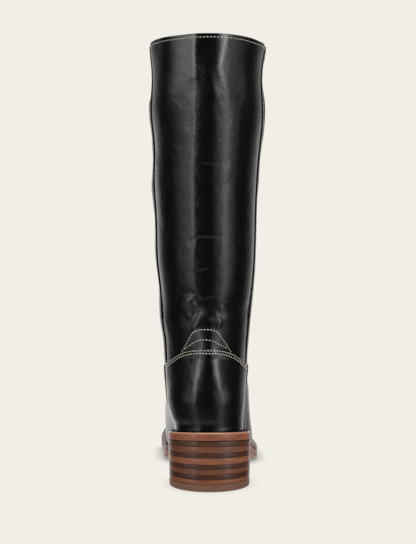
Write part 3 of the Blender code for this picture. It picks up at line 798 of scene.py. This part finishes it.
def join_rings(count, size):
    """Faces between rings of points that follow one another."""
    return [(r * size + i, r * size + (i + 1) % size, (r + 1) * size + (i + 1) % size, (r + 1) * size + i)
            for r in range(count - 1) for i in range(size)]


def close_skin(piece):
    """Merge a piece's doubles, point its faces outwards and smooth it between its sharp edges."""
    bpy.ops.object.select_all(action="DESELECT")
    bpy.context.view_layer.objects.active = piece
    piece.select_set(True)
    bpy.ops.object.mode_set(mode="EDIT")
    bpy.ops.mesh.select_all(action="SELECT")
    bpy.ops.mesh.remove_doubles(threshold=0.001 * MM)
    bpy.ops.mesh.normals_make_consistent(inside=False)
    bpy.ops.object.mode_set(mode="OBJECT")
    bpy.ops.object.shade_smooth_by_angle(angle=math.radians(35))


def stack_layer(name, node, round_edge, materials, count, blunt=False):
    """A layer with rounded edges in the place of a flat solid. Materials are for edge, underside and top."""
    low, high = (np.concatenate([outer, inner[:0:-1] if blunt else inner[-2:0:-1]])
                 for outer, inner in (layer_outline(node, up, count, blunt) for up in (-1, 1)))
    around = np.roll(low, -1, axis=0) - np.roll(low, 1, axis=0)
    inward = np.stack([-around[:, 1], around[:, 0], np.zeros(len(low))], axis=1)
    inward /= np.linalg.norm(inward, axis=1, keepdims=True)
    lean = (high - low) / np.linalg.norm(high - low, axis=1, keepdims=True)
    quarter = np.linspace(0, math.pi / 2, 5)
    rows, on_rim_burnish_and_highlight = [], []
    for end, way, angles in ((low, 1, quarter), (high, -1, quarter[::-1])):
        for angle in angles:
            rows.append(end + inward * round_edge * (1 - math.sin(angle))
                        + lean * way * round_edge * (1 - math.cos(angle)))
            # Rows round the upper edge take the lighter rim colour: burnish and a painted highlight
            on_rim_burnish_and_highlight.append(1.0 if way < 0 and angle < RIM_ANGLE else 0.0)
    size = len(low)
    faces = join_rings(len(rows), size)
    sides = len(faces)
    for r, facing_up in ((0, False), (len(rows) - 1, True)):
        for i in range((size + 1) // 2 if blunt else size // 2):
            corners = [i, i + 1, size - 1 - i, (size - i) % size]
            corners = [r * size + c for c in dict.fromkeys(corners) if c <= size - 1]
            if len(corners) > 2:
                faces.append(tuple(corners if facing_up else corners[::-1]))
    piece = add_piece(name, np.concatenate(rows), faces)
    rim = piece.data.attributes.new("rim", "FLOAT", "POINT")
    rim.data.foreach_set("value", np.repeat(on_rim_burnish_and_highlight, size))
    for material in materials:
        piece.data.materials.append(material)
    for face in piece.data.polygons[sides:]:
        face.material_index = min(len(materials) - 1, 1 if face.normal.z < 0 else 2)
    close_skin(piece)
    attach(piece, "root")
    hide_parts(node.name)
    return piece


def stacked_leather(name, dark, light, rim_burnish_and_highlight_colour=None, roughness=0.42, coat=0.7):
    """Edge of sole leather, sanded, stained and waxed: brown with level fibre streaks about 0.9 mm thick and
    16 mm long, and a stain that changes over 20 mm."""
    material, tree = new_material(name)
    at = add_node(tree, "ShaderNodeTexCoord").outputs["Object"]
    level = add_node(tree, "ShaderNodeMapping",
                     {"Vector": at, "Scale": (1 / (16 * MM), 1 / (16 * MM), 1 / (0.9 * MM))})
    streaks = add_node(tree, "ShaderNodeTexNoise",
                       {"Vector": level.outputs["Vector"], "Scale": 1.0, "Detail": 4.0, "Roughness": 0.6})
    stain = add_node(tree, "ShaderNodeTexNoise", {"Vector": at, "Scale": 1 / (20 * MM), "Detail": 3.0})
    both = add_node(tree, "ShaderNodeMix",
                    {"Factor": 0.35, "A": streaks.outputs["Fac"], "B": stain.outputs["Fac"]})
    spread = add_node(tree, "ShaderNodeMapRange",
                      {"Value": both.outputs["Result"], "From Min": 0.35, "From Max": 0.65})
    colour = add_node(tree, "ShaderNodeMix",
                      {"Factor": spread.outputs["Result"], "A": linear(dark), "B": linear(light)},
                      data_type="RGBA")
    # A lighter top rim: partly burnish, partly a painted highlight where overhead light catches the edge
    if rim_burnish_and_highlight_colour:
        rubbed_and_highlight = add_node(tree, "ShaderNodeAttribute", attribute_name="rim")
        colour = add_node(tree, "ShaderNodeMix",
                          {"Factor": rubbed_and_highlight.outputs["Fac"], "A": colour.outputs["Result"],
                           "B": linear(rim_burnish_and_highlight_colour)}, data_type="RGBA")
    bump = add_node(tree, "ShaderNodeBump",
                    {"Height": streaks.outputs["Fac"], "Strength": 0.25, "Distance": 0.2 * MM})
    shader = add_node(tree, "ShaderNodeBsdfPrincipled",
                      {"Base Color": colour.outputs["Result"], "Roughness": roughness, "IOR": 1.48,
                       "Normal": bump.outputs["Normal"], "Coat Weight": coat, "Coat Roughness": 0.15})
    add_node(tree, "ShaderNodeOutputMaterial", {"Surface": shader.outputs["BSDF"]})
    return material


def natural_sole():
    """Underside of the sole: undyed oak-bark sole leather, buffed, pale tan with a mottle of 8 mm."""
    material, tree = new_material("natural_sole_leather")
    at = add_node(tree, "ShaderNodeTexCoord").outputs["Object"]
    mottle = add_node(tree, "ShaderNodeTexNoise",
                      {"Vector": at, "Scale": 1 / (8 * MM), "Detail": 6.0, "Roughness": 0.65})
    colour = add_node(tree, "ShaderNodeMix",
                      {"Factor": mottle.outputs["Fac"], "A": linear("#a87a55"), "B": linear("#cfa47b")},
                      data_type="RGBA")
    bump = add_node(tree, "ShaderNodeBump",
                    {"Height": mottle.outputs["Fac"], "Strength": 0.2, "Distance": 0.3 * MM})
    shader = add_node(tree, "ShaderNodeBsdfPrincipled",
                      {"Base Color": colour.outputs["Result"], "Roughness": 0.5,
                       "Normal": bump.outputs["Normal"]})
    add_node(tree, "ShaderNodeOutputMaterial", {"Surface": shader.outputs["BSDF"]})
    return material


# Rim colour: burnished edge and painted highlight
outsole_edge = stacked_leather("outsole_edge_leather", "#8d5038", "#b86e4e", "#d09a70")
# Painted shade: the outsole's top is near black, as the gap under the counter lies in shadow
outsole_top_shade = stacked_leather("seat_painted_shade", "#070505", "#0c0908", roughness=0.6, coat=0.0)
outsole = stack_layer("outsole_leather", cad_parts["outsole"], OUTSOLE_ROUND,
                      [outsole_edge, natural_sole(), outsole_top_shade], count=130)

# Welt: a strip of sole leather round the forefoot from breast to breast, between upper and outsole. One row
# of stitches along it holds the outsole. Both its ends are skived thin.
WELT = 4.0
WELT_INSIDE = 2.3
WELT_LIFT = 0.3
WELT_LEAST = 1.2
WELT_POINTS = 220
BREAST = 61.0
SKIVED, SKIVE_LENGTH = 0.12, 36
EDGE_REACH = 3.0
WELT_PROFILE = ((0, 0), (0, WELT), (0.82, WELT), (0.94, WELT - 0.25), (1.0, WELT - 0.9), (1.0, 0.5),
                (0.93, 0))
WELT_ROW, WELT_ROW_ENDS = 0.45, 3
sole_outer, sole_inner = layer_outline(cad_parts["outsole"], up=1, count=400, blunt=False)
sole_edge = np.concatenate([sole_outer, sole_inner[-2:0:-1]])
breast_outer, breast_inner = (float(turn_where([FOOT_DROP], side, lambda z: BREAST)[0]) for side in (1, -1))
welt_turn = np.linspace(breast_outer, math.tau + breast_inner, WELT_POINTS)
welt_drop = np.full(WELT_POINTS, FOOT_DROP)
welt_out = outward(welt_turn, welt_drop)
welt_out[:, 2] = 0
welt_out /= np.linalg.norm(welt_out, axis=1, keepdims=True)
welt_inner = last(welt_turn, welt_drop) + welt_out * WELT_INSIDE


def reach_edge(points, ways):
    """How far points are from the outsole's edge along level directions, in mm."""
    a, b = sole_edge[:, :2], np.roll(sole_edge, -1, axis=0)[:, :2]
    side = b - a
    reach = []
    for point, way in zip(points[:, :2], ways[:, :2]):
        cross = way[0] * side[:, 1] - way[1] * side[:, 0]
        gap = a - point
        along = (gap[:, 0] * side[:, 1] - gap[:, 1] * side[:, 0]) / cross
        share = (gap[:, 0] * way[1] - gap[:, 1] * way[0]) / cross
        hit = along[(share >= 0) & (share <= 1) & (along > -EDGE_REACH)]
        reach.append(hit.min() if len(hit) else EDGE_REACH)
    return np.array(reach)


welt_width = np.maximum(reach_edge(welt_inner, welt_out), WELT_LEAST)


def welt_point(share, rise):
    """Points along the welt at a share of its width and a height over the outsole, thinner at both ends."""
    points = welt_inner + welt_out * (welt_width * share)[:, None]
    thick = SKIVED + (1 - SKIVED) * soft_step(BREAST, BREAST + SKIVE_LENGTH, points[:, 1] - BACK_Y)
    points[:, 2] = np.interp(points[:, 1], sole_outer[:, 1], sole_outer[:, 2]) + WELT_LIFT + rise * thick
    return points


sections = np.stack([welt_point(*place) for place in WELT_PROFILE], axis=1)
count, sides = sections.shape[:2]
welt_ends = [tuple(range(sides)), tuple(reversed(range((count - 1) * sides, count * sides)))]
welt = add_piece("welt_leather", sections.reshape(-1, 3), join_rings(count, sides) + welt_ends)
close_skin(welt)
welt.data.materials.append(stacked_leather("welt_edge_leather", "#5e3a2e", "#7d5140"))
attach(welt, "root")
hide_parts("welt")
welt_row = welt_point(WELT_ROW, WELT + ROW_LIFT)[WELT_ROW_ENDS:-WELT_ROW_ENDS]
straight_up = np.tile((0.0, 0.0, 1.0), (len(welt_row), 1))
sew("welt_stitches", [(welt_row, straight_up)], pitch=4.2, length=3.2, width=0.8)

# Heel: a stack of eight lifts of sole leather, light and dark in turn, on a top lift of brown rubber. They
# are pegged and cemented, then the whole block is sanded, stained and waxed.
LIFT_ROUND, TOP_LIFT_ROUND, LIFT_POINTS = 0.12, 0.5, 60
LIFT_TONES = (("#7e482e", "#a5623f"), ("#462315", "#5c311d"), ("#6b3b27", "#8c5235"), ("#492818", "#5f3721"),
              ("#865036", "#b06d4a"), ("#48291a", "#5e3824"), ("#71402e", "#945a3e"), ("#513121", "#69422c"))
for number, tones in enumerate(LIFT_TONES, start=1):
    tone = "light" if number % 2 else "dark"
    leather = stacked_leather(f"{tone}_stacked_leather_{number}", *tones)
    lift = stack_layer(f"lift_{number}_leather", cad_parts[f"heel_lift_{number}"], LIFT_ROUND,
                       [leather], LIFT_POINTS, blunt=True)
rubber = stacked_leather("brown_rubber", "#7d5a45", "#916952", roughness=0.55, coat=0.1)
top_lift = stack_layer("top_lift_rubber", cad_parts["top_lift"], TOP_LIFT_ROUND, [rubber], LIFT_POINTS,
                       blunt=True)

# Stage: a round of pale paper, soft studio light from large panels all round, and the camera behind the heel.
# The paper glows evenly; only a narrow painted shadow lies close to the sole and the heel, where ambient
# occlusion darkens it.
BACKDROP = "#f1eee7"
FLOOR_RADIUS = 0.34
PAINTED_SHADOW_REACH = 11 * MM
HEEL_PAINTED_SHADOW, SOLE_PAINTED_SHADOW = 0.3, 0.75
HEEL_Y, SOLE_Y = -70 * MM, -30 * MM
bpy.ops.mesh.primitive_circle_add(vertices=96, radius=FLOOR_RADIUS, fill_type="NGON", location=(0, 0, 0))
floor = bpy.context.object
floor.name = "floor"
paper, tree = new_material("ivory_paper")
at = add_node(tree, "ShaderNodeTexCoord").outputs["Object"]
along = add_node(tree, "ShaderNodeSeparateXYZ", {"Vector": at})
# Painted shadow, weaker by the heel than beside the sole
under = add_node(tree, "ShaderNodeMapRange",
                 {"Value": along.outputs["Y"], "From Min": HEEL_Y, "From Max": SOLE_Y,
                  "To Min": HEEL_PAINTED_SHADOW, "To Max": SOLE_PAINTED_SHADOW}, interpolation_type="SMOOTHSTEP")
close = add_node(tree, "ShaderNodeAmbientOcclusion", {"Distance": PAINTED_SHADOW_REACH}, samples=16)
hidden = add_node(tree, "ShaderNodeMath", {0: 1.0, 1: close.outputs["AO"]}, operation="SUBTRACT")
painted_shadow = add_node(tree, "ShaderNodeMath",
                 {0: hidden.outputs["Value"], 1: under.outputs["Result"]}, operation="MULTIPLY")
glow = add_node(tree, "ShaderNodeMath", {0: 1.0, 1: painted_shadow.outputs["Value"]}, operation="SUBTRACT")
glowing_paper = add_node(tree, "ShaderNodeEmission", {"Color": linear(BACKDROP), "Strength": glow.outputs["Value"]})
add_node(tree, "ShaderNodeOutputMaterial", {"Surface": glowing_paper.outputs["Emission"]})
floor.data.materials.append(paper)
floor.visible_glossy = False

# Light panels: azimuth from the camera's side towards +X, as from, softness there, to, softness there, then
# elevation in the same way, all in degrees, and the brightness
PANELS = (
    (-82, 14, -41, 2.5, -11, 4, 8, 5, 0.42),
    (-62, 9, -41, 2.5, -11, 4, 11, 4, 0.4),
    (-48.5, 3.5, -41, 2.5, -11, 4, 11, 4, 1.3),
    (-56, 4, -47, 3.5, 10, 1.5, 34, 8, 3.4),
    (-60, 15, -41, 4, -45, 5, -10, 4, 0.35),
    (30, 24, 76, 20, -11, 4, 8, 5, 0.85),
    (48, 9, 62, 9, -11, 4, 11, 4, 0.95),
    (36, 10, 62, 9, 12, 3, 34, 8, 0.2),
    (43, 5, 52, 5, 10, 1.5, 34, 8, 3.8),
    (42, 12, 64, 12, -45, 5, -10, 4, 0.5),
    (-120, 20, 120, 20, -62, 6, -30, 6, 0.35),
    (-200, 6, -150, 25, -40, 8, 42, 12, 0.45),
    (-200, 6, -150, 25, -40, 8, 5, 3, 0.65),
    (156, 32, 200, 6, -40, 8, 42, 12, 0.42),
    (156, 32, 200, 6, -40, 8, 5, 3, 0.55),
    (-190, 1, 190, 1, 70, 8, 100, 2, 7.0),
)
DIM = 0.02
WHITE = (1.0, 1.0, 1.0, 1.0)
world = bpy.data.worlds.new("studio")
bpy.context.scene.world = world
world.use_nodes = True
tree = world.node_tree
tree.nodes.clear()
way = add_node(tree, "ShaderNodeTexCoord").outputs["Generated"]
xyz = add_node(tree, "ShaderNodeSeparateXYZ", {"Vector": way})
towards = add_node(tree, "ShaderNodeMath", {0: xyz.outputs["Y"], 1: -1.0}, operation="MULTIPLY")
azimuth = add_node(tree, "ShaderNodeMath",
                   {0: xyz.outputs["X"], 1: towards.outputs["Value"]}, operation="ARCTAN2")
elevation = add_node(tree, "ShaderNodeMath", {0: xyz.outputs["Z"]}, operation="ARCSINE")


def soft_window(tree, value, rise_from, rise_to, fall_from, fall_to):
    """Nodes that rise softly from 0 to 1 and fall softly back to 0 as a value passes four marks."""
    rise = add_node(tree, "ShaderNodeMapRange",
                    {"Value": value, "From Min": rise_from, "From Max": rise_to},
                    interpolation_type="SMOOTHSTEP")
    fall = add_node(tree, "ShaderNodeMapRange",
                    {"Value": value, "From Min": fall_from, "From Max": fall_to, "To Min": 1.0,
                     "To Max": 0.0}, interpolation_type="SMOOTHSTEP")
    return add_node(tree, "ShaderNodeMath",
                    {0: rise.outputs["Result"], 1: fall.outputs["Result"]},
                    operation="MULTIPLY").outputs["Value"]


def soft_edges(low, low_soft, high, high_soft):
    """Where the soft edges of a panel start and end, in radians, from its limits in degrees."""
    return np.radians((low - low_soft, low + low_soft, high - high_soft, high + high_soft))


glow = DIM
for panel in PANELS:
    across = soft_window(tree, azimuth.outputs["Value"], *soft_edges(*panel[:4]))
    upright = soft_window(tree, elevation.outputs["Value"], *soft_edges(*panel[4:8]))
    both = add_node(tree, "ShaderNodeMath", {0: across, 1: upright}, operation="MULTIPLY")
    glow = add_node(tree, "ShaderNodeMath",
                    {0: both.outputs["Value"], 1: panel[8], 2: glow},
                    operation="MULTIPLY_ADD").outputs["Value"]
panels = add_node(tree, "ShaderNodeBackground", {"Strength": glow, "Color": WHITE})
backdrop = add_node(tree, "ShaderNodeBackground", {"Color": linear(BACKDROP), "Strength": 1.0})
seen = add_node(tree, "ShaderNodeLightPath")
shown = add_node(tree, "ShaderNodeMixShader",
                 {"Fac": seen.outputs["Is Camera Ray"], 1: panels.outputs["Background"],
                  2: backdrop.outputs["Background"]})
add_node(tree, "ShaderNodeOutputWorld", {"Surface": shown.outputs["Shader"]})

# Light cards: three curved strips of bright paper a metre from the boot, high up, that only the top of the
# shaft mirrors. Azimuth from, width of its soft end, to, width of its soft end, in degrees, and brightness
CARDS = ((-112, 40, -38.5, 5, 1.9), (25, 18, 62, 18, 4.5), (40, 40, 115, 20, 0.5))
CARD_AWAY = 1.0
CARD_LOW, CARD_HIGH, CARD_SOFT = 0.46, 0.8, 0.09
card_tall = CARD_HIGH - CARD_LOW
card_fade = CARD_SOFT / card_tall
for number, (start, start_soft, end, end_soft, bright) in enumerate(CARDS, start=1):
    bpy.ops.mesh.primitive_grid_add(x_subdivisions=24, y_subdivisions=2, size=2)
    card = bpy.context.object
    card.name = f"light_card_{number}"
    wide = end - start
    for point in card.data.vertices:
        turn = math.radians(start + (point.co.x + 1) / 2 * wide)
        point.co = (CARD_AWAY * math.sin(turn), BACK_Y * MM - CARD_AWAY * math.cos(turn),
                    CARD_LOW + (point.co.y + 1) / 2 * card_tall)
    glowing, tree = new_material(f"light_card_{number}")
    at = add_node(tree, "ShaderNodeTexCoord").outputs["UV"]
    place = add_node(tree, "ShaderNodeSeparateXYZ", {"Vector": at})
    across = soft_window(tree, place.outputs["X"], 0.0, start_soft / wide, 1.0 - end_soft / wide, 1.0)
    upright = soft_window(tree, place.outputs["Y"], 0.0, card_fade, 1.0 - card_fade, 1.0)
    both = add_node(tree, "ShaderNodeMath", {0: across, 1: upright}, operation="MULTIPLY")
    power = add_node(tree, "ShaderNodeMath", {0: both.outputs["Value"], 1: bright}, operation="MULTIPLY")
    shine = add_node(tree, "ShaderNodeEmission", {"Color": WHITE, "Strength": power.outputs["Value"]})
    clear = add_node(tree, "ShaderNodeBsdfTransparent")
    seen_through = add_node(tree, "ShaderNodeAddShader",
                            {0: shine.outputs["Emission"], 1: clear.outputs["BSDF"]})
    add_node(tree, "ShaderNodeOutputMaterial", {"Surface": seen_through.outputs["Shader"]})
    card.data.materials.append(glowing)
    card.visible_camera = False

# Camera: a metre behind the heel, a little above half the boot's height, tilted slightly down
CAMERA_PLACE = (0.000135, -1.12775, 0.2232)
CAMERA_TILT = 88.58
CAMERA_LENS, CAMERA_SENSOR = 73.92, 36
bpy.ops.object.camera_add(location=CAMERA_PLACE, rotation=(math.radians(CAMERA_TILT), 0, 0))
camera = bpy.context.object
camera.data.lens = CAMERA_LENS
camera.data.sensor_width = CAMERA_SENSOR
bpy.context.scene.camera = camera
bpy.context.scene.view_settings.view_transform = "Standard"
